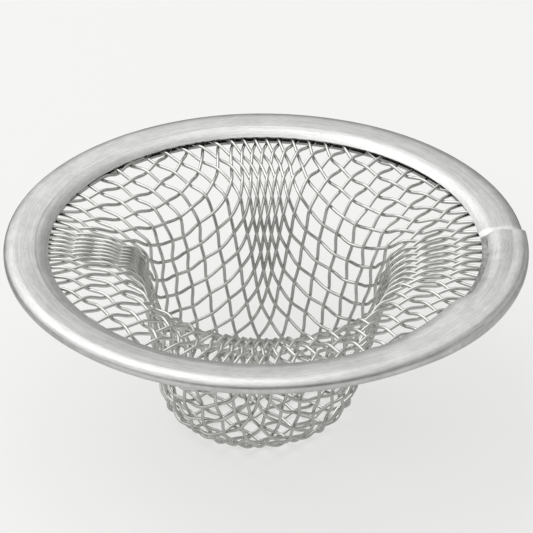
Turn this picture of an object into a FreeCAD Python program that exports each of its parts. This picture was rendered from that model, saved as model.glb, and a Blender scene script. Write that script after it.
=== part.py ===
import FreeCAD, Part
import math
import os

# A drop-in sink strainer: a basket drawn from plain-woven wire cloth, its edge clamped in a folded strip.
# Millimetres, +Z up. The origin is on the basket's axis, on the surface that the basket stands on.

Vector = FreeCAD.Vector

# Wire cloth
WIRE_DIAMETER = 0.38
MESH_PITCH = 2.76  # wire to wire, along a wire
CROSSING_GAP = 0.32  # between a wire's flat underside and the ridge of the wire that it passes over
CLOTH_CENTRE_X = 1.4  # where the cloth's two straight wires cross on the floor
CLOTH_CENTRE_Y = -0.06
CLOTH_TURN = 42.0  # degrees from +X to the straight warp wire
NAMED_WIRE_COUNT = 13  # wires with a file of their own, each side of a straight wire

# Basket, measured on the middle of the cloth
BASKET_DEPTH = 26.4  # from the clamped edge down to the floor
FLANGE_WIDTH = 8.53  # of the sloping ring between the level edge and the neck
FLANGE_DROP = 1.41  # of that ring, down to the neck
FLANGE_BEND_RADIUS = 6.0
SHOULDER_RADIUS = 5.5  # at the neck, where the wall turns down
WALL_TAPER = 6.22  # from the neck's radius to the floor's
FLOOR_CORNER_RADIUS = 6.55
NECK_ASIDE = (0.6, -0.7)  # from the rim's axis: the drawn basket leans a little
FLOOR_ASIDE = (-1.0, 0.3)
NECK_STRETCH = -0.04  # of the basket's width along X, as a share: it isn't quite round
FLOOR_STRETCH = 0.05

# Rim band, a strip folded over the cloth's edge
RIM_OUTER_RADIUS = 35.0
BAND_WIDTH = 6.1
STRIP_THICKNESS = 0.35
LIP_GAP = 0.25  # between the cloth and the upper leg of the strip
CLAMP_GAP = 0.02  # between the cloth and the lower leg
CLAMP_DEPTH = 1.7  # of cloth inside the band
FLAT_BEFORE_BAND = 2.6  # of level cloth beside the band
LEAST_HOLD = 0.4  # of a wire's end inside the band
SEAT_WIDTH = 4.0  # flat ring under the band
FOLD_GAP = 0.7  # inside the outer fold
FOLD_BULGE = 0.4  # of the nose beyond the fold's two creases

# Lap of the strip's two ends
LAP_END = 4.0  # degrees from +X to the end of the upper layer
LAP_ANGLE = 36.0
LAP_GAP = 0.1  # between the two layers
JOGGLE_ANGLE = 4.0  # over which the upper layer steps out

# Working values
RIDGE = WIRE_DIAMETER / math.sqrt(3)  # of a wire's section above its middle
UNDERSIDE = RIDGE / 2  # of a wire's section below its middle
CRIMP = (RIDGE + UNDERSIDE + CROSSING_GAP) / 2  # of a wire above or below the middle of the cloth
FLOOR_Z = CRIMP + UNDERSIDE
CLAMP_Z = FLOOR_Z + BASKET_DEPTH
NECK_Z = CLAMP_Z - FLANGE_DROP
RIM_INNER_RADIUS = RIM_OUTER_RADIUS - BAND_WIDTH
LEVEL_RADIUS = RIM_INNER_RADIUS - FLAT_BEFORE_BAND
NECK_RADIUS = LEVEL_RADIUS - FLANGE_WIDTH
FLOOR_RADIUS = NECK_RADIUS - WALL_TAPER
CLOTH_RADIUS = RIM_INNER_RADIUS + CLAMP_DEPTH
GEODESIC_STEPS = 20  # per pitch
SEARCH_STEPS = 40
SOLVE_ROUNDS = 40
SOLVE_TOLERANCE = 1e-9


class Meridian:
    """The basket's outline from the axis outwards, as straight and round spans, by length along it."""

    def __init__(self):
        corners = [
            (0.0, FLOOR_Z),
            (FLOOR_RADIUS, FLOOR_Z),
            (NECK_RADIUS, NECK_Z),
            (LEVEL_RADIUS, CLAMP_Z),
            (CLOTH_RADIUS, CLAMP_Z),
        ]
        bends = [FLOOR_CORNER_RADIUS, SHOULDER_RADIUS, FLANGE_BEND_RADIUS]
        self.spans = []
        self.length = 0.0
        start = corners[0]
        for before, corner, after, radius in zip(corners, corners[1:], corners[2:], bends):
            heading = math.atan2(corner[1] - before[1], corner[0] - before[0])
            leaving = math.atan2(after[1] - corner[1], after[0] - corner[0])
            turn = leaving - heading
            tangent = radius * math.tan(abs(turn) / 2)
            touch = (corner[0] - tangent * math.cos(heading), corner[1] - tangent * math.sin(heading))
            self.add_span(start, heading, 0.0, math.dist(start, touch))
            self.add_span(touch, heading, math.copysign(1 / radius, turn), radius * abs(turn))
            start = (corner[0] + tangent * math.cos(leaving), corner[1] + tangent * math.sin(leaving))
        self.add_span(start, leaving, 0.0, math.dist(start, corners[-1]))

    def add_span(self, start, heading, curvature, length):
        self.spans.append((self.length, start, heading, curvature))
        self.length += length

    def at(self, s):
        """Radius, height and heading at length s. The last span runs on past the edge."""
        begin, start, heading, curvature = [span for span in self.spans if span[0] <= s][-1]
        run = s - begin
        if curvature == 0.0:
            return start[0] + run * math.cos(heading), start[1] + run * math.sin(heading), heading
        now = heading + curvature * run
        radius = start[0] + (math.sin(now) - math.sin(heading)) / curvature
        height = start[1] - (math.cos(now) - math.cos(heading)) / curvature
        return radius, height, now

    def nearest(self, radius, height, low, high):
        """The length between low and high that comes nearest to a point."""
        lengths = [low + (high - low) * k / SEARCH_STEPS for k in range(SEARCH_STEPS + 1)]
        return min(lengths, key=lambda s: math.dist(self.at(s)[:2], (radius, height)))

    def point(self, place):
        radius, height, _ = self.at(place[0])
        return Vector(radius * math.cos(place[1]), radius * math.sin(place[1]), height)

    def drawn_point(self, place):
        """The point as the basket was drawn, out of round and aside. The edge in the band stays round."""
        round_point = self.point(place)
        radius = math.hypot(round_point.x, round_point.y)
        share = min(1.0, max(0.0, (RIM_INNER_RADIUS - radius) / (RIM_INNER_RADIUS - NECK_RADIUS)))
        share *= share * (3 - 2 * share)
        low = max(0.0, (NECK_Z - round_point.z) / (NECK_Z - FLOOR_Z))
        stretch = share * (NECK_STRETCH + (FLOOR_STRETCH - NECK_STRETCH) * low)
        aside = [share * (neck + (floor - neck) * low) for neck, floor in zip(NECK_ASIDE, FLOOR_ASIDE)]
        return round_point + Vector(round_point.x * stretch + aside[0], aside[1], 0)

    def normal(self, place):
        """Square to the cloth, towards the inside of the basket."""
        heading = self.at(place[0])[2]
        inward = -math.sin(heading)
        return Vector(inward * math.cos(place[1]), inward * math.sin(place[1]), math.cos(heading))


def straight_wire(outline, heading, count):
    """Crossings, a pitch apart, along the wire that leaves the cloth's centre straight ahead on the basket."""
    s = math.hypot(CLOTH_CENTRE_X, CLOTH_CENTRE_Y)
    angle = math.atan2(CLOTH_CENTRE_Y, CLOTH_CENTRE_X)
    lean = heading - angle
    step = MESH_PITCH / GEODESIC_STEPS
    crossings = [(s, angle)]
    for k in range(count * GEODESIC_STEPS):
        radius, _, slope = outline.at(s)
        middle = lean - step / 2 * math.sin(lean) * math.cos(slope) / radius
        radius, _, slope = outline.at(s + step / 2 * math.cos(lean))
        s += step * math.cos(middle)
        angle += step * math.sin(middle) / radius
        lean -= step * math.sin(middle) * math.cos(slope) / radius
        if (k + 1) % GEODESIC_STEPS == 0:
            crossings.append((s, angle))
    return crossings


def next_crossing(outline, first, second, behind):
    """The place on the basket one pitch from each of two crossings, on the far side from the one behind.
    Where the cloth can't shear that far, it stretches: the place then completes the four to a diamond."""
    a = outline.point(first)
    b = outline.point(second)
    d = outline.point(behind)
    guess = a + b - d
    angle = math.atan2(guess.y, guess.x)
    low = max(0.0, min(first[0], second[0]) - MESH_PITCH)
    high = max(first[0], second[0]) + 1.5 * MESH_PITCH
    s = outline.nearest(math.hypot(guess.x, guess.y), guess.z, low, high)
    stretched = (s, angle)
    for _ in range(SOLVE_ROUNDS):
        radius, height, slope = outline.at(s)
        out = Vector(math.cos(angle), math.sin(angle), 0)
        along = out * math.cos(slope) + Vector(0, 0, math.sin(slope))
        around = Vector(-radius * out.y, radius * out.x, 0)
        place = out * radius + Vector(0, 0, height)
        miss_a = place.distanceToPoint(a) ** 2 - MESH_PITCH**2
        miss_b = place.distanceToPoint(b) ** 2 - MESH_PITCH**2
        if abs(miss_a) + abs(miss_b) < SOLVE_TOLERANCE:
            return (s, angle) if place.distanceToPoint(d) > WIRE_DIAMETER else stretched
        slope_a = (2 * (place - a).dot(along), 2 * (place - a).dot(around))
        slope_b = (2 * (place - b).dot(along), 2 * (place - b).dot(around))
        det = slope_a[0] * slope_b[1] - slope_a[1] * slope_b[0]
        if abs(det) < SOLVE_TOLERANCE:
            break
        ds = (miss_a * slope_b[1] - miss_b * slope_a[1]) / det
        da = (miss_b * slope_a[0] - miss_a * slope_b[0]) / det
        longest = max(abs(ds), abs(da) * radius, MESH_PITCH / 2)
        s = abs(s - ds * MESH_PITCH / 2 / longest)
        angle -= da * MESH_PITCH / 2 / longest
    return stretched


def drape(outline):
    """Every crossing of the cloth on the basket, by weft and warp number, as (length, angle)."""
    count = math.ceil(outline.length / MESH_PITCH) + 2
    far = outline.length + 2 * MESH_PITCH
    turn = math.radians(CLOTH_TURN)
    arms = [straight_wire(outline, turn + k * math.pi / 2, count) for k in range(4)]
    quarter_turns = [(1, 0), (0, 1), (-1, 0), (0, -1)]
    crossings = {}
    for k, (c, s) in enumerate(quarter_turns):
        ahead = arms[k]
        aside = arms[(k + 1) % 4]
        net = {(i, 0): place for i, place in enumerate(ahead)}
        net.update({(0, j): place for j, place in enumerate(aside)})
        for i in range(1, count + 1):
            for j in range(1, count + 1):
                around = [net.get((i - 1, j)), net.get((i, j - 1)), net.get((i - 1, j - 1))]
                if None in around or min(around[0][0], around[1][0]) > far:
                    continue
                net[(i, j)] = next_crossing(outline, *around)
        for (i, j), place in net.items():
            crossings[(i * c - j * s, i * s + j * c)] = place
    return crossings


def wire_path(outline, crossings, numbers, over):
    """Points and normals along one wire, crimped over and under, to its ends inside the band."""
    path = []
    for number in numbers:
        place = crossings.get(number)
        if place is None:
            continue
        side = over if sum(number) % 2 == 0 else -over
        normal = outline.normal(place)
        path.append((outline.drawn_point(place) + normal * side * CRIMP, normal))

    def reach(item):
        return math.hypot(item[0].x, item[0].y)

    if min(reach(item) for item in path) > RIM_INNER_RADIUS:
        return None
    free = [k for k, item in enumerate(path) if reach(item) < RIM_INNER_RADIUS + LEAST_HOLD]
    first, last = free[0], free[-1]
    trimmed = path[first:last + 1]
    ends = ((path[last], path[last + 1], len(trimmed)), (path[first], path[first - 1], 0))
    for end, beyond, spot in ends:
        share = min(1.0, (CLOTH_RADIUS - reach(end)) / (reach(beyond) - reach(end)))
        trimmed.insert(spot, (end[0] + (beyond[0] - end[0]) * share, beyond[1]))
    return trimmed


def wire_solid(path):
    """A bar through the points of a path. Its section has three corners, is as wide as the wire and has
    its ridge towards the inside of the basket."""
    sections = []
    for k, (point, normal) in enumerate(path):
        ahead = path[min(k + 1, len(path) - 1)][0]
        behind = path[max(k - 1, 0)][0]
        side = normal.cross(ahead - behind).normalize() * WIRE_DIAMETER / 2
        up = (ahead - behind).cross(side).normalize()
        ridge = point + up * RIDGE
        foot = point - up * UNDERSIDE
        sections.append(Part.makePolygon([ridge, foot + side, foot - side, ridge]))
    return Part.makeLoft(sections, True, True)


def cloth_nodes():
    """The warp and weft wires, by node name. The short wires near the edge share a node on each side."""
    outline = Meridian()
    crossings = drape(outline)
    furthest = max(i for i, _ in crossings)
    span = range(-furthest, furthest + 1)
    nodes = {}
    for family, over in (("warp", 1), ("weft", -1)):
        for wire in span:
            numbers = [(k, wire) if family == "warp" else (wire, k) for k in span]
            path = wire_path(outline, crossings, numbers, over)
            if path is None:
                continue
            if abs(wire) <= NAMED_WIRE_COUNT:
                name = f"{family}_wire_{wire + NAMED_WIRE_COUNT + 1:02d}"
            else:
                left = (wire > 0) == (family == "warp")
                name = f"{family}_edge_wires_{'left' if left else 'right'}"
            nodes.setdefault(name, []).append(wire_solid(path))
    return nodes


def offset(points, step):
    """A line of (radius, height) points moved sideways by a step, to its left when it is positive."""
    slopes = [math.atan2(b[1] - a[1], b[0] - a[0]) for a, b in zip(points, points[1:])]
    before = [slopes[0]] + slopes
    after = slopes + [slopes[-1]]
    moved = []
    for (radius, height), a, b in zip(points, before, after):
        reach = step / math.cos((b - a) / 2)
        middle = (a + b) / 2
        moved.append((radius - reach * math.sin(middle), height + reach * math.cos(middle)))
    return moved


def band_line():
    """The outer side of the folded strip, from its lip over the outer fold to its lower inside edge."""
    lip_z = CLAMP_Z + CRIMP + RIDGE + LIP_GAP + STRIP_THICKNESS
    seat_z = CLAMP_Z - CRIMP - UNDERSIDE - CLAMP_GAP - STRIP_THICKNESS
    fold_height = 2 * STRIP_THICKNESS + FOLD_GAP
    crease_radius = RIM_OUTER_RADIUS - FOLD_BULGE
    return [
        (RIM_INNER_RADIUS, lip_z),
        (crease_radius, lip_z),
        (RIM_OUTER_RADIUS, lip_z - fold_height / 2),
        (crease_radius, lip_z - fold_height),
        (RIM_INNER_RADIUS + SEAT_WIDTH, seat_z),
        (RIM_INNER_RADIUS, seat_z),
    ]


def section(outer, inner, angle):
    """The closed section between two sides of the strip, at an angle round the axis."""
    corners = [Vector(radius, 0, height) for radius, height in outer + inner[::-1]]
    return Part.makePolygon(corners + corners[:1]).rotated(Vector(0, 0, 0), Vector(0, 0, 1), angle)


def swept_round(outer, inner, start, angle):
    """The strip between two sides, carried round the axis from a start angle."""
    return Part.Face(section(outer, inner, start)).revolve(Vector(0, 0, 0), Vector(0, 0, 1), angle)


def rim_band():
    """One folded strip. Its upper leg and fold step out near the end and lap over its beginning, and its
    lower leg ends against its beginning."""
    outer = band_line()
    inner = offset(outer, -STRIP_THICKNESS)
    top = outer[:4]
    over_top = offset(top, LAP_GAP + STRIP_THICKNESS)
    over_inner = offset(top, LAP_GAP)
    begin = LAP_END - LAP_ANGLE
    step = begin - JOGGLE_ANGLE
    butt_gap = math.degrees(LAP_GAP / RIM_INNER_RADIUS)
    upper_leg = swept_round(top, inner[:4], begin, 360.0 - JOGGLE_ANGLE)
    lower_leg = swept_round(outer[3:], inner[3:], begin, 360.0 - butt_gap)
    joggle = Part.makeLoft([section(top, inner[:4], step), section(over_top, over_inner, begin)], True, True)
    lap = swept_round(over_top, over_inner, begin, LAP_ANGLE)
    return upper_leg.fuse([lower_leg, joggle, lap]).removeSplitter()


def main():
    os.makedirs("parts", exist_ok=True)
    rim_band().exportStep("parts/rim_band.step")
    for name, wires in cloth_nodes().items():
        shape = wires[0] if len(wires) == 1 else Part.makeCompound(wires)
        shape.exportStep(f"parts/{name}.step")


main()
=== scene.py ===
import math

import bmesh
import bpy
from bpy.props import FloatProperty, FloatVectorProperty, IntProperty, PointerProperty
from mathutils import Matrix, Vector, noise


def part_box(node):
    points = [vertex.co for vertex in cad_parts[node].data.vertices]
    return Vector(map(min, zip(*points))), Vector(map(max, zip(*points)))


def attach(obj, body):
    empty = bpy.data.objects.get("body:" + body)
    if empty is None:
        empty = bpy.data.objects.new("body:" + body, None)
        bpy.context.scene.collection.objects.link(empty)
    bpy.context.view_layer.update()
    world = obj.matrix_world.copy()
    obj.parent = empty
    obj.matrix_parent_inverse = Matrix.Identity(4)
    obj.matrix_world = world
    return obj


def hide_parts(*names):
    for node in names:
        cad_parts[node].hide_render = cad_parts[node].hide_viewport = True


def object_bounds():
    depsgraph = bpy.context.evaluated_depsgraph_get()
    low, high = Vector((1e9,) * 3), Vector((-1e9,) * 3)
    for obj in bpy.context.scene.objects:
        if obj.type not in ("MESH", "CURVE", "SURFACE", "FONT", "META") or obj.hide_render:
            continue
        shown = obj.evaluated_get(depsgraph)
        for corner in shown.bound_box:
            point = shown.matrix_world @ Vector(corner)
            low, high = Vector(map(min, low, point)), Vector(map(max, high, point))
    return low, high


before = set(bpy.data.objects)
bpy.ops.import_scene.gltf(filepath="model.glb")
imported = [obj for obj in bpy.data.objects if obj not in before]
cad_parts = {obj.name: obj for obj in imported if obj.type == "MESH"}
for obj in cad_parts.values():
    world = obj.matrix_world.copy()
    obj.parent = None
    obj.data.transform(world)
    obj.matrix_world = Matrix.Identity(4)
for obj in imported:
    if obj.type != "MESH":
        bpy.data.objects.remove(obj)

bl_info = {
    "name": "Sink Strainer",
    "version": (1, 0, 0),
    "blender": (4, 5, 0),
    "location": "3D View > Sidebar > Strainer",
    "description": "Round woven wires, a folded rim band and a pale stage for a mesh sink strainer",
    "category": "Object",
}

# Names shared by the pieces
BODY = "root"
BAND_NODE = "rim_band"

# Reading the bars of the cloth
MERGE_DISTANCE = 1e-6  # between loose corners that are one
RAIL_ANGLE = math.radians(80)  # least bend across an edge that outlines a bar
CORNERS = 3  # of a bar's section

# Unevenness of the wires and of the band
UNEVEN_SEED = 3  # fixes the noise, so that each run gives the same meshes
DIE_LINE_RUNS = 120.0  # lengths of the die-line pattern in a metre of wire
WAVER_TURN = 1.7  # waves of the ring, in a radian
RIPPLE_TURN = 2.5  # rolling marks, in a radian
RIPPLE_WIDTH = 0.0006  # of a rolling mark
NICK_TURN = 40  # nicks in the lap's lip, in a radian
NICK_SHARE = 0.1  # depth of the nicks, of the lip's set-back
CLOUD_WEIGHT = 0.7  # of the soft clouds in the band's tone

# Details of the band
CREASE_POINTS = 2  # from the crease's ridge to its foot
DIP_STEPS = 12  # where the lower layer dips
SHARP_EDGE = math.radians(50)  # bend past which an edge is drawn sharp
LEAST_BARE = 0.6  # least stain on the bare lip beside the lap
SHADE_FROM = 0.375  # share of that lip's width from which painted shade deepens the stain towards the upper layer

# Sockets of a colour Mix node
MIX_A = 6
MIX_B = 7
MIX_RESULT = 2

# Places taken from the frame
CAD_LOW, CAD_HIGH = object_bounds()
BAND_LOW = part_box(BAND_NODE)[0]
INSIDE = Vector((0, 0, 2 * CAD_HIGH[2]))  # a point above the basket, which its inner side faces

# The image, in pixels, and the camera's sensor, in millimetres
IMAGE_SIZE = 533
TARGET_ASIDE = -3.5  # of the camera's target, to the right of the image's middle
TARGET_ABOVE = 19.85
SENSOR_WIDTH = 36.0

# The stage
FLOOR_FRONT = -0.05  # where painted shade starts to darken the floor's tone in the steel
FLOOR_BACK = 0.1  # where that painted shade is darkest
DIMMEST_SKY = 0.36
BRIGHTEST_SKY = 1.0
SOFTBOX_PLACE = Vector((-0.3, 0.3, 0.74))
SOFTBOX_SIZE = 0.6
SIDE_LIGHT_PLACE = Vector((-0.7, 0.0, 0.45))
SIDE_LIGHT_SIZE = 1.0


class WireSettings(bpy.types.PropertyGroup):
    """Sizes and finish of the round wires of the cloth."""

    diameter: FloatProperty(
        name="Diameter",
        description="Thickness of the drawn wire",
        default=0.00045,
        unit="LENGTH",
        precision=5,
    )
    crimp: FloatProperty(
        name="Crimp",
        description="How far a wire's middle stands off the cloth's middle at a crossing",
        default=0.000245,
        unit="LENGTH",
        precision=6,
    )
    waver: FloatProperty(
        name="Waver",
        description="How far the hand-drawn basket leaves a true round form",
        default=0.00014,
        unit="LENGTH",
        precision=6,
    )
    waver_size: FloatProperty(
        name="Waver Size",
        description="Length of one uneven patch",
        default=0.006,
        unit="LENGTH",
        precision=4,
    )
    hold_radius: FloatProperty(
        name="Hold Radius",
        description="How far out each wire runs inside the band",
        default=0.0305,
        unit="LENGTH",
        precision=4,
    )
    sides: IntProperty(name="Sides", description="Corners of the wire's round section", default=12, min=6)
    bend_steps: IntProperty(
        name="Bend Steps",
        description="Steps from crossing to crossing",
        default=8,
        min=2,
    )
    colour: FloatVectorProperty(
        name="Colour", description="Steel of the wire", default=(0.9, 0.9, 0.868), subtype="COLOR"
    )
    dull_colour: FloatVectorProperty(
        name="Dull Colour",
        description="Steel where the wire has dulled",
        default=(0.53, 0.53, 0.507),
        subtype="COLOR",
    )


class BandSettings(bpy.types.PropertyGroup):
    """Sizes and finish of the folded rim band."""

    thickness: FloatProperty(
        name="Thickness", description="Of the strip", default=0.00035, unit="LENGTH", precision=5
    )
    lip_radius: FloatProperty(
        name="Lip Radius",
        description="Of the upper leg's inner edge",
        default=0.0289,
        unit="LENGTH",
        precision=5,
    )
    lip_length: FloatProperty(
        name="Lip Length",
        description="Of the crown's inner part, which bends down to the cloth",
        default=0.0021,
        unit="LENGTH",
        precision=5,
    )
    lip_slope: FloatProperty(
        name="Lip Slope",
        description="Rise of the strip at its lip",
        default=math.radians(38),
        subtype="ANGLE",
    )
    crown_slope: FloatProperty(
        name="Crown Slope",
        description="Rise of the crown beside the lip",
        default=math.radians(5),
        subtype="ANGLE",
    )
    shoulder_length: FloatProperty(
        name="Shoulder Length",
        description="Of the crown's outer part, which falls towards the bead",
        default=0.0012,
        unit="LENGTH",
        precision=5,
    )
    shoulder_slope: FloatProperty(
        name="Shoulder Slope",
        description="Fall of the crown at the bead",
        default=math.radians(24),
        subtype="ANGLE",
    )
    bead_radius: FloatProperty(
        name="Bead Radius",
        description="Of the rolled outer edge",
        default=0.00088,
        unit="LENGTH",
        precision=5,
    )
    leg_slope: FloatProperty(
        name="Leg Slope",
        description="Fall of the lower leg from the bead to the seat",
        default=math.radians(25),
        subtype="ANGLE",
    )
    leg_drop_length: FloatProperty(
        name="Leg Drop Length",
        description="Of the sloping part of the lower leg",
        default=0.0011,
        unit="LENGTH",
        precision=5,
    )
    seat_bend_radius: FloatProperty(
        name="Seat Bend Radius",
        description="Between slope and seat",
        default=0.0012,
        unit="LENGTH",
        precision=5,
    )
    leg_radius: FloatProperty(
        name="Leg Radius",
        description="Of the lower leg's inner edge",
        default=0.0298,
        unit="LENGTH",
        precision=5,
    )
    lap_end: FloatProperty(
        name="Lap End", description="Where the upper layer ends", default=math.radians(4), subtype="ANGLE"
    )
    lap_angle: FloatProperty(
        name="Lap Angle",
        description="Over which the strip is double",
        default=math.radians(36),
        subtype="ANGLE",
    )
    joggle_angle: FloatProperty(
        name="Joggle Angle",
        description="Over which the upper layer steps out",
        default=math.radians(30),
        subtype="ANGLE",
    )
    lap_step: FloatProperty(
        name="Lap Step",
        description="Of the upper layer over the lower at the bead",
        default=0.00043,
        unit="LENGTH",
        precision=5,
    )
    lap_dip: FloatProperty(
        name="Lap Dip",
        description="How far the lower layer's crown is pressed down under the upper",
        default=0.0003,
        unit="LENGTH",
        precision=5,
    )
    lap_tilt: FloatProperty(
        name="Lap Tilt",
        description="How much higher the upper layer rides at its lip, on the edge of the lower",
        default=0.0003,
        unit="LENGTH",
        precision=5,
    )
    lap_crease: FloatProperty(
        name="Lap Crease",
        description="Height of the crease that runs along the upper layer's outer fold",
        default=0.00011,
        unit="LENGTH",
        precision=6,
    )
    crease_slope: FloatProperty(
        name="Crease Slope",
        description="Fall of the strip where that crease runs",
        default=math.radians(50.4),
        subtype="ANGLE",
    )
    lap_dip_angle: FloatProperty(
        name="Lap Dip Angle",
        description="Over which the lower layer dips under the upper layer's end",
        default=math.radians(2.2),
        subtype="ANGLE",
    )
    lap_set_back: FloatProperty(
        name="Lap Set-Back",
        description="Of the upper layer's lip behind the lower layer's, at its end",
        default=0.0013,
        unit="LENGTH",
        precision=5,
    )
    imprint_radius: FloatProperty(
        name="Imprint Radius",
        description="Where the cloth's edge shows through the crown",
        default=0.03065,
        unit="LENGTH",
        precision=5,
    )
    imprint_depth: FloatProperty(
        name="Imprint Depth", description="Of that line", default=0.00004, unit="LENGTH", precision=6
    )
    bulge: FloatProperty(
        name="Bulge",
        description="How far the ring is pushed out on the side of its lap",
        default=0.0004,
        unit="LENGTH",
        precision=5,
    )
    waver: FloatProperty(
        name="Waver",
        description="How far the pressed band leaves a true ring",
        default=0.00006,
        unit="LENGTH",
        precision=6,
    )
    ripple: FloatProperty(
        name="Ripple",
        description="Height of the rolling marks that run round the crown",
        default=0.000011,
        unit="LENGTH",
        precision=7,
    )
    ring_steps: IntProperty(name="Ring Steps", description="Sections in a full turn", default=480, min=90)
    colour: FloatVectorProperty(
        name="Colour", description="Brushed steel", default=(0.84, 0.84, 0.826), subtype="COLOR"
    )
    dull_colour: FloatVectorProperty(
        name="Dull Colour",
        description="Steel between the brush lines",
        default=(0.69, 0.69, 0.678),
        subtype="COLOR",
    )
    # Stain on the rough lip beside the lap; the same dark colour also paints shade towards the upper layer's
    # edge
    stain_and_shade_colour: FloatVectorProperty(
        name="Stain Colour",
        description="Rough lip beside the lap",
        default=(0.06, 0.06, 0.058),
        subtype="COLOR",
    )


class StageSettings(bpy.types.PropertyGroup):
    """The pale stage, its light and the camera."""

    floor_size: FloatProperty(
        name="Floor Size",
        description="Side of the floor",
        default=6.0,
        unit="LENGTH",
    )
    floor_colour: FloatVectorProperty(
        name="Floor Colour", description="Matt white", default=(0.95, 0.95, 0.938), subtype="COLOR"
    )
    floor_glow: FloatProperty(
        name="Floor Glow", description="Share of the floor's tone that is seen without shade", default=0.56
    )
    # Painted shade: the floor as the steel sees it fades from this front tone to the darker back tone
    reflected_front: FloatProperty(
        name="Reflected Front", description="Tone of the floor's front part in the steel", default=0.7
    )
    reflected_back: FloatProperty(
        name="Reflected Back", description="Tone of the floor's back part in the steel", default=0.18
    )
    softbox_power: FloatProperty(
        name="Softbox Power",
        description="Of the lamp overhead",
        default=0.9,
        unit="POWER",
    )
    side_power: FloatProperty(
        name="Side Power",
        description="Of the lamp on the left",
        default=1.7,
        unit="POWER",
    )
    target_rise: FloatProperty(
        name="Target Rise",
        description="Of the camera's target above the band's seat",
        default=0.00127,
        unit="LENGTH",
        precision=5,
    )
    camera_elevation: FloatProperty(
        name="Camera Elevation",
        description="Above the level of the rim",
        default=math.radians(31.85),
        subtype="ANGLE",
    )
    camera_distance: FloatProperty(
        name="Camera Distance", description="From the rim's centre", default=0.52, unit="LENGTH"
    )
    focal_pixels: FloatProperty(
        name="Focal Pixels", description="Focal length in pixels of the image", default=3858.0
    )


def node_with(tree, kind, inputs=None, **settings):
    """A new node with its settings and its unlinked inputs set."""
    node = tree.nodes.new(kind)
    for name, value in settings.items():
        setattr(node, name, value)
    for name, value in (inputs or {}).items():
        node.inputs[name].default_value = value
    return node


def new_material(name):
    """A material with a shader, its tree and that shader."""
    material = bpy.data.materials.new(name)
    material.use_nodes = True
    tree = material.node_tree
    tree.nodes.clear()
    output = tree.nodes.new("ShaderNodeOutputMaterial")
    shader = tree.nodes.new("ShaderNodeBsdfPrincipled")
    tree.links.new(shader.outputs["BSDF"], output.inputs["Surface"])
    return material, tree, shader


def opaque(colour):
    return (*colour, 1.0)


def smooth_step(share):
    share = min(1.0, max(0.0, share))
    return share * share * (3 - 2 * share)


def wire_steel(settings):
    """Drawn wire: bright steel with fine die lines along it and dull patches."""
    material, tree, shader = new_material("drawn_wire_steel")
    link = tree.links.new
    shader.inputs["Metallic"].default_value = 1.0
    around = node_with(tree, "ShaderNodeAttribute", attribute_name="around")
    along = node_with(tree, "ShaderNodeAttribute", attribute_name="along")
    stretched = node_with(tree, "ShaderNodeMath", {1: DIE_LINE_RUNS}, operation="MULTIPLY")
    place = tree.nodes.new("ShaderNodeCombineXYZ")
    lines_at = node_with(tree, "ShaderNodeVectorMath", operation="ADD")
    lines = node_with(tree, "ShaderNodeTexNoise", {"Scale": 3.0, "Detail": 2.0})
    link(along.outputs["Fac"], stretched.inputs[0])
    link(stretched.outputs[0], place.inputs["Z"])
    link(around.outputs["Vector"], lines_at.inputs[0])
    link(place.outputs[0], lines_at.inputs[1])
    link(lines_at.outputs[0], lines.inputs["Vector"])
    coordinates = tree.nodes.new("ShaderNodeTexCoord")
    patches = node_with(tree, "ShaderNodeTexNoise", {"Scale": 350.0, "Detail": 3.0})
    link(coordinates.outputs["Object"], patches.inputs["Vector"])
    tone = node_with(tree, "ShaderNodeMix", data_type="RGBA")
    tone.inputs[MIX_A].default_value = opaque(settings.dull_colour)
    tone.inputs[MIX_B].default_value = opaque(settings.colour)
    link(patches.outputs["Fac"], tone.inputs["Factor"])
    link(tone.outputs[MIX_RESULT], shader.inputs["Base Color"])
    rough = node_with(tree, "ShaderNodeMapRange",
                      {"From Min": 0.3, "From Max": 0.7, "To Min": 0.08, "To Max": 0.18})
    link(lines.outputs["Fac"], rough.inputs["Value"])
    link(rough.outputs[0], shader.inputs["Roughness"])
    bump = node_with(tree, "ShaderNodeBump", {"Strength": 0.2, "Distance": 0.00001})
    link(lines.outputs["Fac"], bump.inputs["Height"])
    link(bump.outputs[0], shader.inputs["Normal"])
    return material


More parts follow.
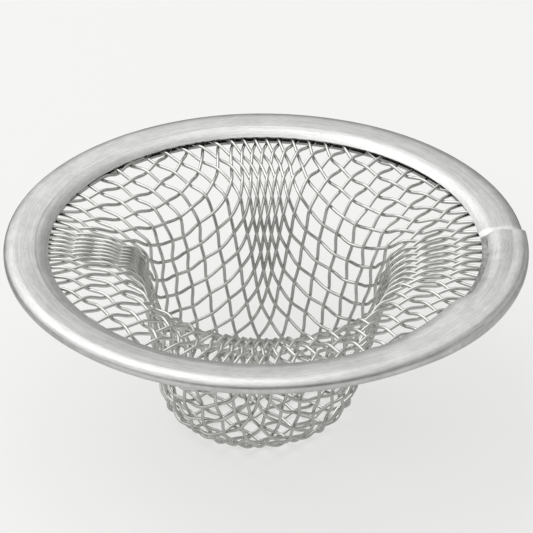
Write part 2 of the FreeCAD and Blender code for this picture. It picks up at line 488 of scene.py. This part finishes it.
def band_steel(settings):
    """Brushed strip: fine and broad lines round the ring, soft clouds, and a stained lip beside the lap with
    painted shade.
    """
    material, tree, shader = new_material("brushed_band_steel")
    link = tree.links.new
    shader.inputs["Metallic"].default_value = 1.0
    shader.inputs["Anisotropic"].default_value = 0.45
    coordinates = tree.nodes.new("ShaderNodeTexCoord")
    flat = node_with(tree, "ShaderNodeVectorMath", {1: (1.0, 1.0, 0.0)}, operation="MULTIPLY")
    radius = node_with(tree, "ShaderNodeVectorMath", operation="LENGTH")
    outward = node_with(tree, "ShaderNodeVectorMath", operation="NORMALIZE")
    tangent = node_with(tree, "ShaderNodeVectorMath", {0: (0.0, 0.0, 1.0)}, operation="CROSS_PRODUCT")
    link(coordinates.outputs["Object"], flat.inputs[0])
    link(flat.outputs["Vector"], radius.inputs[0])
    link(flat.outputs["Vector"], outward.inputs[0])
    link(outward.outputs["Vector"], tangent.inputs[1])
    link(tangent.outputs["Vector"], shader.inputs["Tangent"])

    def brushed(stroke, fineness, detail):
        """Noise drawn out round the ring: strokes per radian round it, lines per metre across it."""
        spread = node_with(tree, "ShaderNodeVectorMath", {"Scale": stroke}, operation="SCALE")
        across = node_with(tree, "ShaderNodeMath", {1: fineness}, operation="MULTIPLY")
        lift = tree.nodes.new("ShaderNodeCombineXYZ")
        where = node_with(tree, "ShaderNodeVectorMath", operation="ADD")
        streaks = node_with(tree, "ShaderNodeTexNoise", {"Scale": 1.0, "Detail": detail})
        link(outward.outputs["Vector"], spread.inputs[0])
        link(radius.outputs["Value"], across.inputs[0])
        link(across.outputs[0], lift.inputs["Z"])
        link(spread.outputs["Vector"], where.inputs[0])
        link(lift.outputs[0], where.inputs[1])
        link(where.outputs["Vector"], streaks.inputs["Vector"])
        return streaks.outputs["Fac"]

    fine = brushed(stroke=30.0, fineness=9000.0, detail=3.0)
    broad = brushed(stroke=5.0, fineness=4500.0, detail=2.0)
    clouds = node_with(tree, "ShaderNodeTexNoise", {"Scale": 380.0, "Detail": 7.0, "Roughness": 0.65})
    link(coordinates.outputs["Object"], clouds.inputs["Vector"])
    both = node_with(tree, "ShaderNodeMath", operation="ADD")
    smudged = node_with(tree, "ShaderNodeMath", {1: CLOUD_WEIGHT, 2: -CLOUD_WEIGHT / 2},
                        operation="MULTIPLY_ADD")
    all_three = node_with(tree, "ShaderNodeMath", operation="ADD")
    link(fine, both.inputs[0])
    link(broad, both.inputs[1])
    link(clouds.outputs["Fac"], smudged.inputs[0])
    link(both.outputs[0], all_three.inputs[0])
    link(smudged.outputs[0], all_three.inputs[1])
    tone = node_with(tree, "ShaderNodeMix", data_type="RGBA")
    tone.inputs[MIX_A].default_value = opaque(settings.dull_colour)
    tone.inputs[MIX_B].default_value = opaque(settings.colour)
    share = node_with(tree, "ShaderNodeMapRange", {"From Min": 0.82, "From Max": 1.18})
    link(all_three.outputs[0], share.inputs["Value"])
    link(share.outputs[0], tone.inputs["Factor"])
    # The lip's stain, deepened by painted shade towards the upper layer's edge, where the lap's step
    # overhangs it
    lip_stain_and_shade = node_with(tree, "ShaderNodeAttribute", attribute_name="lip_stain_and_shade")
    mottle = node_with(tree, "ShaderNodeTexNoise", {"Scale": 1100.0, "Detail": 4.0, "Roughness": 0.6})
    worn = node_with(tree, "ShaderNodeMapRange",
                     {"From Min": 0.35, "From Max": 0.6, "To Min": 0.42, "To Max": 1.0})
    stain_and_shade = node_with(tree, "ShaderNodeMath", operation="MULTIPLY")
    stained_and_shaded = node_with(tree, "ShaderNodeMix", data_type="RGBA")
    stained_and_shaded.inputs[MIX_B].default_value = opaque(settings.stain_and_shade_colour)
    link(coordinates.outputs["Object"], mottle.inputs["Vector"])
    link(mottle.outputs["Fac"], worn.inputs["Value"])
    link(worn.outputs[0], stain_and_shade.inputs[0])
    link(lip_stain_and_shade.outputs["Fac"], stain_and_shade.inputs[1])
    link(stain_and_shade.outputs[0], stained_and_shaded.inputs["Factor"])
    link(tone.outputs[MIX_RESULT], stained_and_shaded.inputs[MIX_A])
    link(stained_and_shaded.outputs[MIX_RESULT], shader.inputs["Base Color"])
    rough = node_with(tree, "ShaderNodeMapRange",
                      {"From Min": 0.3, "From Max": 0.7, "To Min": 0.32, "To Max": 0.46})
    link(clouds.outputs["Fac"], rough.inputs["Value"])
    link(rough.outputs[0], shader.inputs["Roughness"])
    bump = node_with(tree, "ShaderNodeBump", {"Strength": 0.4, "Distance": 0.00001})
    link(fine, bump.inputs["Height"])
    link(bump.outputs[0], shader.inputs["Normal"])
    return material


def merged_copy(node):
    """A merged copy of a node's loose triangles."""
    copy = bmesh.new()
    copy.from_mesh(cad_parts[node].data)
    bmesh.ops.remove_doubles(copy, verts=copy.verts, dist=MERGE_DISTANCE)
    return copy


def bar_sections(node):
    """The three-cornered sections along each bar of a node, one per crossing."""
    copy = merged_copy(node)
    rails = {}
    for edge in copy.edges:
        if edge.is_manifold and edge.calc_face_angle() > RAIL_ANGLE:
            for vertex in edge.verts:
                rails.setdefault(vertex, set()).add(edge.other_vert(vertex))
    ends = [vertex for vertex, beside in rails.items() if len(beside) == CORNERS]
    bars = []
    used = set()
    for end in ends:
        if end in used:
            continue
        cap = [end] + [other for other in rails[end] if rails[end] & rails[other]]
        lines = []
        for corner in cap:
            line = [corner]
            behind = set(cap)
            while True:
                ahead = rails[line[-1]] - behind
                if not ahead:
                    break
                behind = {line[-1]}
                line.append(ahead.pop())
                if len(rails[line[-1]]) == CORNERS:
                    break
            lines.append(line)
        used.update(line[0] for line in lines)
        used.update(line[-1] for line in lines)
        bars.append([[corner.co.copy() for corner in section] for section in zip(*lines)])
    copy.free()
    return bars


def second_differences(points):
    return [a - 2 * b + c for a, b, c in zip(points, points[1:], points[2:])]


def crimped_line(sections, settings):
    """Points along the round wire that a bar stands for: the middle of the cloth, a little uneven, with the
    wire's own crimp over and under it."""
    middles = [sum(corners, Vector()) / CORNERS for corners in sections]
    inward = [(INSIDE - m).normalized() for m in middles]
    leanings = []
    for k in range(CORNERS):
        leanings.append(sum((corners[k] - m).dot(way) for corners, m, way in zip(sections, middles, inward)))
    ridge = leanings.index(max(leanings))
    normals = [(corners[ridge] - m).normalized() for corners, m in zip(sections, middles)]
    swings = [normal * (-1) ** k for k, normal in enumerate(normals)]
    bends = second_differences(middles)
    turns = second_differences(swings)
    swing = sum(b.dot(t) for b, t in zip(bends, turns)) / sum(t.dot(t) for t in turns)
    line = []
    for middle, way in zip(middles, swings):
        on_cloth = middle - way * swing
        uneven = noise.noise_vector(on_cloth / settings.waver_size) * settings.waver
        uneven.z *= smooth_step(on_cloth.z / settings.waver_size)
        point = on_cloth + uneven + way * math.copysign(settings.crimp, swing)
        point.z = max(point.z, CAD_LOW[2] + settings.diameter / 2)
        line.append(point)
    return [held_end(line[0], line[1], settings)] + line[1:-1] + [held_end(line[-1], line[-2], settings)]


def held_end(end, before, settings):
    """The end of a wire, drawn out to where the band holds it."""
    along = end - before
    reach = math.hypot(end.x, end.y)
    gain = reach - math.hypot(before.x, before.y)
    longer = max(0.0, settings.hold_radius - reach) / max(gain, settings.diameter)
    return end + along * min(longer, 1.0)


def wire_tree():
    """Geometry Nodes: a round wire, smooth through every point of a line."""
    tree = bpy.data.node_groups.new("round_wire", "GeometryNodeTree")
    tree.is_modifier = True
    face = tree.interface
    face.new_socket("Geometry", in_out="INPUT", socket_type="NodeSocketGeometry")
    face.new_socket("Radius", in_out="INPUT", socket_type="NodeSocketFloat")
    face.new_socket("Sides", in_out="INPUT", socket_type="NodeSocketInt")
    face.new_socket("Bend Steps", in_out="INPUT", socket_type="NodeSocketInt")
    face.new_socket("Material", in_out="INPUT", socket_type="NodeSocketMaterial")
    face.new_socket("Geometry", in_out="OUTPUT", socket_type="NodeSocketGeometry")
    link = tree.links.new
    start = tree.nodes.new("NodeGroupInput")
    end = tree.nodes.new("NodeGroupOutput")
    line = tree.nodes.new("GeometryNodeMeshToCurve")
    smooth = node_with(tree, "GeometryNodeCurveSplineType", spline_type="CATMULL_ROM")
    steps = tree.nodes.new("GeometryNodeSetSplineResolution")
    travel = tree.nodes.new("GeometryNodeSplineParameter")
    along = node_with(tree, "GeometryNodeStoreNamedAttribute", {"Name": "along"}, data_type="FLOAT",
                      domain="POINT")
    circle = node_with(tree, "GeometryNodeCurvePrimitiveCircle", mode="RADIUS")
    place = tree.nodes.new("GeometryNodeInputPosition")
    unit = node_with(tree, "ShaderNodeVectorMath", operation="NORMALIZE")
    around = node_with(tree, "GeometryNodeStoreNamedAttribute", {"Name": "around"}, data_type="FLOAT_VECTOR",
                       domain="POINT")
    sweep = node_with(tree, "GeometryNodeCurveToMesh", {"Fill Caps": True})
    shade = node_with(tree, "GeometryNodeSetShadeSmooth", {"Shade Smooth": True})
    realize = tree.nodes.new("GeometryNodeRealizeInstances")
    coat = tree.nodes.new("GeometryNodeSetMaterial")
    link(start.outputs["Geometry"], line.inputs["Mesh"])
    link(line.outputs["Curve"], smooth.inputs["Curve"])
    link(smooth.outputs["Curve"], steps.inputs["Geometry"])
    link(start.outputs["Bend Steps"], steps.inputs["Resolution"])
    link(steps.outputs["Geometry"], along.inputs["Geometry"])
    link(travel.outputs["Length"], along.inputs["Value"])
    link(along.outputs["Geometry"], sweep.inputs["Curve"])
    link(start.outputs["Sides"], circle.inputs["Resolution"])
    link(start.outputs["Radius"], circle.inputs["Radius"])
    link(circle.outputs["Curve"], around.inputs["Geometry"])
    link(place.outputs["Position"], unit.inputs[0])
    link(unit.outputs["Vector"], around.inputs["Value"])
    link(around.outputs["Geometry"], sweep.inputs["Profile Curve"])
    link(sweep.outputs["Mesh"], shade.inputs["Geometry"])
    link(shade.outputs["Geometry"], realize.inputs["Geometry"])
    link(realize.outputs["Geometry"], coat.inputs["Geometry"])
    link(start.outputs["Material"], coat.inputs["Material"])
    link(coat.outputs["Geometry"], end.inputs["Geometry"])
    return tree


def socket_key(tree, name):
    for item in tree.interface.items_tree:
        if item.item_type == "SOCKET" and item.in_out == "INPUT" and item.name == name:
            return item.identifier
    raise KeyError(name)


def add_piece(name, mesh):
    piece = bpy.data.objects.new(name, mesh)
    bpy.context.scene.collection.objects.link(piece)
    return piece


def wire_piece(node, tree, material, settings):
    """A plain mesh of the round wires that stand for a node's bars."""
    points = []
    edges = []
    for sections in bar_sections(node):
        line = crimped_line(sections, settings)
        edges += [(len(points) + k, len(points) + k + 1) for k in range(len(line) - 1)]
        points += line
    guide = bpy.data.meshes.new(f"guide_{node}")
    guide.from_pydata(points, edges, [])
    piece = add_piece(f"round_{node}", guide)
    modifier = piece.modifiers.new("Round wire", "NODES")
    modifier.node_group = tree
    modifier[socket_key(tree, "Radius")] = settings.diameter / 2
    modifier[socket_key(tree, "Sides")] = settings.sides
    modifier[socket_key(tree, "Bend Steps")] = settings.bend_steps
    modifier[socket_key(tree, "Material")] = material
    evaluated = piece.evaluated_get(bpy.context.evaluated_depsgraph_get())
    mesh = bpy.data.meshes.new_from_object(evaluated)
    piece.modifiers.remove(modifier)
    piece.data = mesh
    bpy.data.meshes.remove(guide)
    return piece


def draw_wires(family, settings):
    """The round wires of the warp or of the weft."""
    noise.seed_set(UNEVEN_SEED)
    tree = bpy.data.node_groups.get("round_wire") or wire_tree()
    material = bpy.data.materials.get("drawn_wire_steel") or wire_steel(settings)
    for node in sorted(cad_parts):
        if node.startswith(family):
            piece = wire_piece(node, tree, material, settings)
            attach(piece, BODY)
            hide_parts(node)


class STRAINER_OT_draw_warp(bpy.types.Operator):
    """Draw the round warp wires along the bars of the cloth"""

    bl_idname = "strainer.draw_warp"
    bl_label = "Draw Warp Wires"

    def execute(self, context):
        draw_wires("warp", context.scene.strainer_wires)
        return {"FINISHED"}


class STRAINER_OT_draw_weft(bpy.types.Operator):
    """Draw the round weft wires along the bars of the cloth"""

    bl_idname = "strainer.draw_weft"
    bl_label = "Draw Weft Wires"

    def execute(self, context):
        draw_wires("weft", context.scene.strainer_wires)
        return {"FINISHED"}


def strip_line(band):
    """The outer side of the folded strip as (radius, height, heading), from the crown's lip over the bead to
    the inner edge of the lower leg, and the number of points to the crown's end and to the bead's end."""
    shoulder = band.shoulder_length * math.cos(band.shoulder_slope / 2)
    bead = band.bead_radius * (1 - math.sin(band.shoulder_slope))
    lip = band.lip_length * math.cos((band.lip_slope + band.crown_slope) / 2)
    crown = (-BAND_LOW[0] - band.lip_radius - lip - shoulder - bead) / math.cos(band.crown_slope / 2)
    bead_turn = math.pi - band.leg_slope - band.shoulder_slope
    # length, turn and steps of each stretch: lip, crown, shoulder, bead, slope of the leg, bend to the seat
    spans = [
        (band.lip_length, band.crown_slope - band.lip_slope, 20),
        (crown, -band.crown_slope, 44),
        (band.shoulder_length, -band.shoulder_slope, 14),
        (band.bead_radius * bead_turn, -bead_turn, 24),
        (band.leg_drop_length, 0.0, 4),
        (band.seat_bend_radius * band.leg_slope, -band.leg_slope, 6),
    ]
    radius, height, heading = band.lip_radius, 0.0, band.lip_slope
    line = [(radius, height, heading)]
    counts = []
    for length, turn, steps in spans:
        for _ in range(steps):
            middle = heading + turn / steps / 2
            radius += length / steps * math.cos(middle)
            height += length / steps * math.sin(middle)
            heading += turn / steps
            line.append((radius, height, heading))
        counts.append(len(line) - 1)
    line.append((band.leg_radius, height, heading))
    upward = BAND_LOW[2] - height
    return [(r, z + upward, h) for r, z, h in line], counts[1], counts[3]


class BandMesh:
    """The folded strip, carried round the axis in rings of points."""

    def __init__(self, band):
        self.band = band
        self.line, self.crown, self.low = strip_line(band)
        self.crease = next(k for k, point in enumerate(self.line) if point[2] < -band.crease_slope)
        self.mesh = bmesh.new()
        # Weight of the lip's stain, and of the painted shade that deepens it towards the upper layer's edge
        self.lip_stain_and_shade = self.mesh.verts.layers.float.new("lip_stain_and_shade")
        self.begin = band.lap_end - band.lap_angle
        self.step_from = self.begin + math.tau - band.joggle_angle
        self.end = band.lap_end + math.tau

    def lift(self, k, angle):
        """How far a point of the line stands off its place, square to the strip."""
        band = self.band
        across = Vector((math.cos(angle), math.sin(angle), 0))
        radius = self.line[k][0]
        on_crown = 1 - smooth_step((k - self.crown) / (self.low - self.crown) * 2)
        climb = smooth_step((angle - self.step_from) / band.joggle_angle)
        step = band.lap_step - on_crown * band.lap_dip + band.lap_tilt * max(0.0, 1 - k / self.crown)
        step += band.lap_crease * max(0.0, 1 - abs(k - self.crease) / CREASE_POINTS)
        dip = on_crown * band.lap_dip * (1 - smooth_step((angle - band.lap_end) / band.lap_dip_angle))
        pressed = band.imprint_depth * (1 - across.x) / 2
        beyond = (radius - band.imprint_radius) / (3 * band.imprint_depth) + 0.5
        imprint = pressed * (1 - smooth_step(beyond))
        ripple = noise.noise(across * RIPPLE_TURN + Vector((0, 0, radius / RIPPLE_WIDTH))) * band.ripple
        return climb * step - dip + on_crown * (ripple - imprint)

    def set_back(self, angle):
        """How far the upper layer's lip is set back: fully after a quarter of the lap, with small nicks."""
        lapped = 1 - (self.end - angle) / self.band.lap_angle
        across = Vector((math.cos(angle), math.sin(angle), 0))
        nicks = 1 + NICK_SHARE * noise.noise(across * NICK_TURN)
        return self.band.lap_set_back * smooth_step(4 * lapped) * nicks

    def stain_and_shade_on_lip(self, radius, angle):
        """Stain on the lower layer's bare lip, 0 to 1, deepened by painted shade towards the upper layer's
        edge.
        """
        band = self.band
        if angle > band.lap_end:
            return 0.0
        reach = (radius - band.lip_radius) / max(self.set_back(angle + math.tau), band.imprint_depth)
        return LEAST_BARE + (1 - LEAST_BARE) * smooth_step((reach - SHADE_FROM) / (1 - SHADE_FROM))

    def ring(self, angle):
        """The points of one section: its outer side, then its inner side."""
        band = self.band
        across = Vector((math.cos(angle), math.sin(angle), 0))
        wave = noise.noise_vector(across * WAVER_TURN) * band.waver
        bulge = band.bulge * max(0.0, across.x) ** 2
        set_back = self.set_back(angle)
        sides = []
        for depth in (0.0, band.thickness):
            side = []
            for k, (radius, height, heading) in enumerate(self.line):
                off = self.lift(k, angle) - depth
                back = set_back * max(0.0, 1 - k / self.crown)
                r = radius - off * math.sin(heading) + back + bulge + wave.x
                z = height + off * math.cos(heading) + wave.y * (k < self.low)
                point = self.mesh.verts.new(across * r + Vector((0, 0, z)))
                point[self.lip_stain_and_shade] = self.stain_and_shade_on_lip(radius, angle) if k < self.crown else 0.0
                side.append(point)
            sides.append(side)
        return sides

    def carry(self, before, after, last):
        """Faces between two rings, for the points up to the last one."""
        face = self.mesh.faces.new
        for k in range(last):
            face((before[0][k], after[0][k], after[0][k + 1], before[0][k + 1]))
            face((before[1][k + 1], after[1][k + 1], after[1][k], before[1][k]))
        face((before[1][0], after[1][0], after[0][0], before[0][0]))
        face((before[0][last], after[0][last], after[1][last], before[1][last]))

    def cap(self, ring, first, last):
        for k in range(first, last):
            self.mesh.faces.new((ring[0][k], ring[0][k + 1], ring[1][k + 1], ring[1][k]))

    def between(self, start, stop):
        """Angles from start to stop, with closer steps where the lower layer dips."""
        turn = math.tau / self.band.ring_steps
        count = round((stop - start) / turn)
        angles = [start + (stop - start) * k / count for k in range(count + 1)]
        dips = [self.band.lap_end + self.band.lap_dip_angle * k / DIP_STEPS for k in range(DIP_STEPS + 1)]
        return sorted(set(angles + [angle for angle in dips if start < angle < stop]))

    def build(self):
        last = len(self.line) - 1
        angles = self.between(self.begin, self.step_from)
        ring = self.ring(angles[0])
        self.cap(ring, 0, last)
        for angle in angles[1:]:
            ahead = self.ring(angle)
            self.carry(ring, ahead, last)
            ring = ahead
        self.cap(ring, self.low, last)
        for angle in self.between(self.step_from, self.end)[1:]:
            ahead = self.ring(angle)
            self.carry(ring, ahead, self.low)
            ring = ahead
        self.cap(ring, 0, self.low)
        loose = [vertex for vertex in self.mesh.verts if not vertex.link_faces]
        bmesh.ops.delete(self.mesh, geom=loose, context="VERTS")
        bmesh.ops.recalc_face_normals(self.mesh, faces=self.mesh.faces)
        for face in self.mesh.faces:
            face.smooth = True
        for edge in self.mesh.edges:
            edge.smooth = edge.calc_face_angle(0.0) < SHARP_EDGE
        mesh = bpy.data.meshes.new("folded_rim_band")
        self.mesh.to_mesh(mesh)
        self.mesh.free()
        return mesh


class STRAINER_OT_fold_band(bpy.types.Operator):
    """Fold the rim band over the edge of the cloth and lap its ends"""

    bl_idname = "strainer.fold_band"
    bl_label = "Fold Rim Band"

    def execute(self, context):
        band = context.scene.strainer_band
        noise.seed_set(UNEVEN_SEED)
        piece = add_piece("folded_rim_band", BandMesh(band).build())
        piece.data.materials.append(band_steel(band))
        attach(piece, BODY)
        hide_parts(BAND_NODE)
        return {"FINISHED"}


def matt_floor(settings):
    """Matt white that keeps a soft shadow, shows its own pale tone to the eye and is greyer in the steel, as
    painted shade.
    """
    material, tree, shader = new_material("matt_floor")
    link = tree.links.new
    tone = node_with(tree, "ShaderNodeMix", data_type="RGBA")
    tone.inputs[MIX_A].default_value = opaque(settings.floor_colour)
    place = tree.nodes.new("ShaderNodeTexCoord")
    parts = tree.nodes.new("ShaderNodeSeparateXYZ")
    # Painted shade in reflections: the floor that the steel sees darkens from front to back
    depth = node_with(tree, "ShaderNodeMapRange",
                      {"From Min": FLOOR_FRONT, "From Max": FLOOR_BACK, "To Min": settings.reflected_front,
                       "To Max": settings.reflected_back})
    link(place.outputs["Object"], parts.inputs[0])
    link(parts.outputs["Y"], depth.inputs["Value"])
    link(depth.outputs[0], tone.inputs[MIX_B])
    link(tone.outputs[MIX_RESULT], shader.inputs["Base Color"])
    shader.inputs["Roughness"].default_value = 0.9
    shader.inputs["Specular IOR Level"].default_value = 0.1
    glow = node_with(tree, "ShaderNodeEmission", {"Strength": 1.0})
    path = tree.nodes.new("ShaderNodeLightPath")
    direct = node_with(tree, "ShaderNodeMath", operation="MAXIMUM")
    seen = node_with(tree, "ShaderNodeMath", operation="MAXIMUM")
    share = node_with(tree, "ShaderNodeMath", {1: settings.floor_glow}, operation="MULTIPLY")
    mix = tree.nodes.new("ShaderNodeMixShader")
    link(path.outputs["Is Glossy Ray"], tone.inputs["Factor"])
    link(tone.outputs[MIX_RESULT], glow.inputs["Color"])
    link(path.outputs["Is Camera Ray"], direct.inputs[0])
    link(path.outputs["Is Transmission Ray"], direct.inputs[1])
    link(direct.outputs[0], seen.inputs[0])
    link(path.outputs["Is Glossy Ray"], seen.inputs[1])
    link(seen.outputs[0], share.inputs[0])
    link(share.outputs[0], mix.inputs["Fac"])
    link(shader.outputs["BSDF"], mix.inputs[1])
    link(glow.outputs["Emission"], mix.inputs[2])
    link(mix.outputs["Shader"], tree.nodes["Material Output"].inputs["Surface"])
    return material


def studio_world():
    """Soft light from all round: bright above, grey behind, darker on the camera's side and to the right."""
    world = bpy.data.worlds.new("studio")
    world.use_nodes = True
    tree = world.node_tree
    tree.nodes.clear()
    link = tree.links.new
    output = tree.nodes.new("ShaderNodeOutputWorld")
    light = node_with(tree, "ShaderNodeBackground", {"Color": (1.0, 1.0, 1.0, 1.0)})
    way = tree.nodes.new("ShaderNodeTexCoord")
    parts = tree.nodes.new("ShaderNodeSeparateXYZ")
    rise = node_with(tree, "ShaderNodeMapRange",
                     {"From Min": 0.0, "From Max": 0.8, "To Min": 0.12, "To Max": 0.97},
                     interpolation_type="SMOOTHSTEP")
    lean = node_with(tree, "ShaderNodeMapRange",
                     {"From Min": 0.0, "From Max": 0.45, "To Min": 0.1, "To Max": 0.85})
    aside = node_with(tree, "ShaderNodeMath", operation="MULTIPLY")
    across = node_with(tree, "ShaderNodeMath", operation="SUBTRACT")
    front = node_with(tree, "ShaderNodeMapRange",
                      {"From Min": -1.0, "From Max": -0.35, "To Min": 0.42, "To Max": 1.0},
                      interpolation_type="SMOOTHSTEP")
    least = node_with(tree, "ShaderNodeMath", {1: DIMMEST_SKY}, operation="MAXIMUM")
    most = node_with(tree, "ShaderNodeMath", {1: BRIGHTEST_SKY}, operation="MINIMUM")
    strength = node_with(tree, "ShaderNodeMath", operation="MULTIPLY")
    link(way.outputs["Generated"], parts.inputs[0])
    link(parts.outputs["Z"], rise.inputs["Value"])
    link(parts.outputs["Z"], lean.inputs["Value"])
    link(parts.outputs["X"], aside.inputs[0])
    link(lean.outputs[0], aside.inputs[1])
    link(rise.outputs[0], across.inputs[0])
    link(aside.outputs[0], across.inputs[1])
    link(across.outputs[0], least.inputs[0])
    link(parts.outputs["Y"], front.inputs["Value"])
    link(least.outputs[0], most.inputs[0])
    link(most.outputs[0], strength.inputs[0])
    link(front.outputs[0], strength.inputs[1])
    link(strength.outputs[0], light.inputs["Strength"])
    link(light.outputs[0], output.inputs["Surface"])
    return world


def hang_lamp(name, place, size, power):
    """Hang a square lamp that faces the origin, and give its object."""
    lamp = bpy.data.lights.new(name, "AREA")
    lamp.size = size
    lamp.energy = power
    hung = bpy.data.objects.new(name, lamp)
    hung.location = place
    hung.rotation_euler = (-place).to_track_quat("-Z", "Y").to_euler()
    bpy.context.scene.collection.objects.link(hung)
    return hung


class STRAINER_OT_light_stage(bpy.types.Operator):
    """Lay the floor, hang the light and stand the camera"""

    bl_idname = "strainer.light_stage"
    bl_label = "Light Stage"

    def execute(self, context):
        stage = context.scene.strainer_stage
        half = stage.floor_size / 2
        level = CAD_LOW[2]
        mesh = bpy.data.meshes.new("floor")
        corners = [(-half, -half, level), (half, -half, level), (half, half, level), (-half, half, level)]
        mesh.from_pydata(corners, [], [(0, 1, 2, 3)])
        mesh.materials.append(matt_floor(stage))
        floor = add_piece("floor", mesh)

        context.scene.world = studio_world()
        hang_lamp("softbox", SOFTBOX_PLACE, SOFTBOX_SIZE, stage.softbox_power)
        side_light = hang_lamp("side_light", SIDE_LIGHT_PLACE, SIDE_LIGHT_SIZE, stage.side_power)
        side_light.visible_glossy = False  # the steel shows the soft sky there

        target = Vector((0, 0, BAND_LOW[2] + stage.target_rise))
        lens = bpy.data.cameras.new("camera")
        lens.sensor_width = SENSOR_WIDTH
        lens.lens = stage.focal_pixels / IMAGE_SIZE * lens.sensor_width
        lens.shift_x = -TARGET_ASIDE / IMAGE_SIZE
        lens.shift_y = -TARGET_ABOVE / IMAGE_SIZE
        lens.clip_start = 0.01
        camera = bpy.data.objects.new("camera", lens)
        rise = stage.camera_elevation
        camera.location = target + Vector((0, -math.cos(rise), math.sin(rise))) * stage.camera_distance
        camera.rotation_euler = (math.pi / 2 - rise, 0, 0)
        context.scene.collection.objects.link(camera)
        context.scene.camera = camera
        context.scene.view_settings.view_transform = "Standard"
        return {"FINISHED"}


class STRAINER_PT_panel(bpy.types.Panel):
    """The strainer's sizes, finishes and steps"""

    bl_idname = "STRAINER_PT_panel"
    bl_label = "Sink Strainer"
    bl_space_type = "VIEW_3D"
    bl_region_type = "UI"
    bl_category = "Strainer"

    def draw(self, context):
        layout = self.layout
        scene = context.scene
        for group in (scene.strainer_wires, scene.strainer_band, scene.strainer_stage):
            box = layout.box()
            for name in group.bl_rna.properties.keys():
                if name not in {"rna_type", "name"}:
                    box.prop(group, name)
        for operator in STEPS:
            layout.operator(operator.bl_idname)


STEPS = (STRAINER_OT_draw_warp, STRAINER_OT_draw_weft, STRAINER_OT_fold_band, STRAINER_OT_light_stage)
CLASSES = (WireSettings, BandSettings, StageSettings, *STEPS, STRAINER_PT_panel)


def register():
    for kind in CLASSES:
        bpy.utils.register_class(kind)
    bpy.types.Scene.strainer_wires = PointerProperty(type=WireSettings)
    bpy.types.Scene.strainer_band = PointerProperty(type=BandSettings)
    bpy.types.Scene.strainer_stage = PointerProperty(type=StageSettings)


def unregister():
    del bpy.types.Scene.strainer_stage
    del bpy.types.Scene.strainer_band
    del bpy.types.Scene.strainer_wires
    for kind in reversed(CLASSES):
        bpy.utils.unregister_class(kind)


def main():
    register()
    bpy.ops.strainer.draw_warp()
    bpy.ops.strainer.draw_weft()
    bpy.ops.strainer.fold_band()
    bpy.ops.strainer.light_stage()


if __name__ == "__main__":
    main()
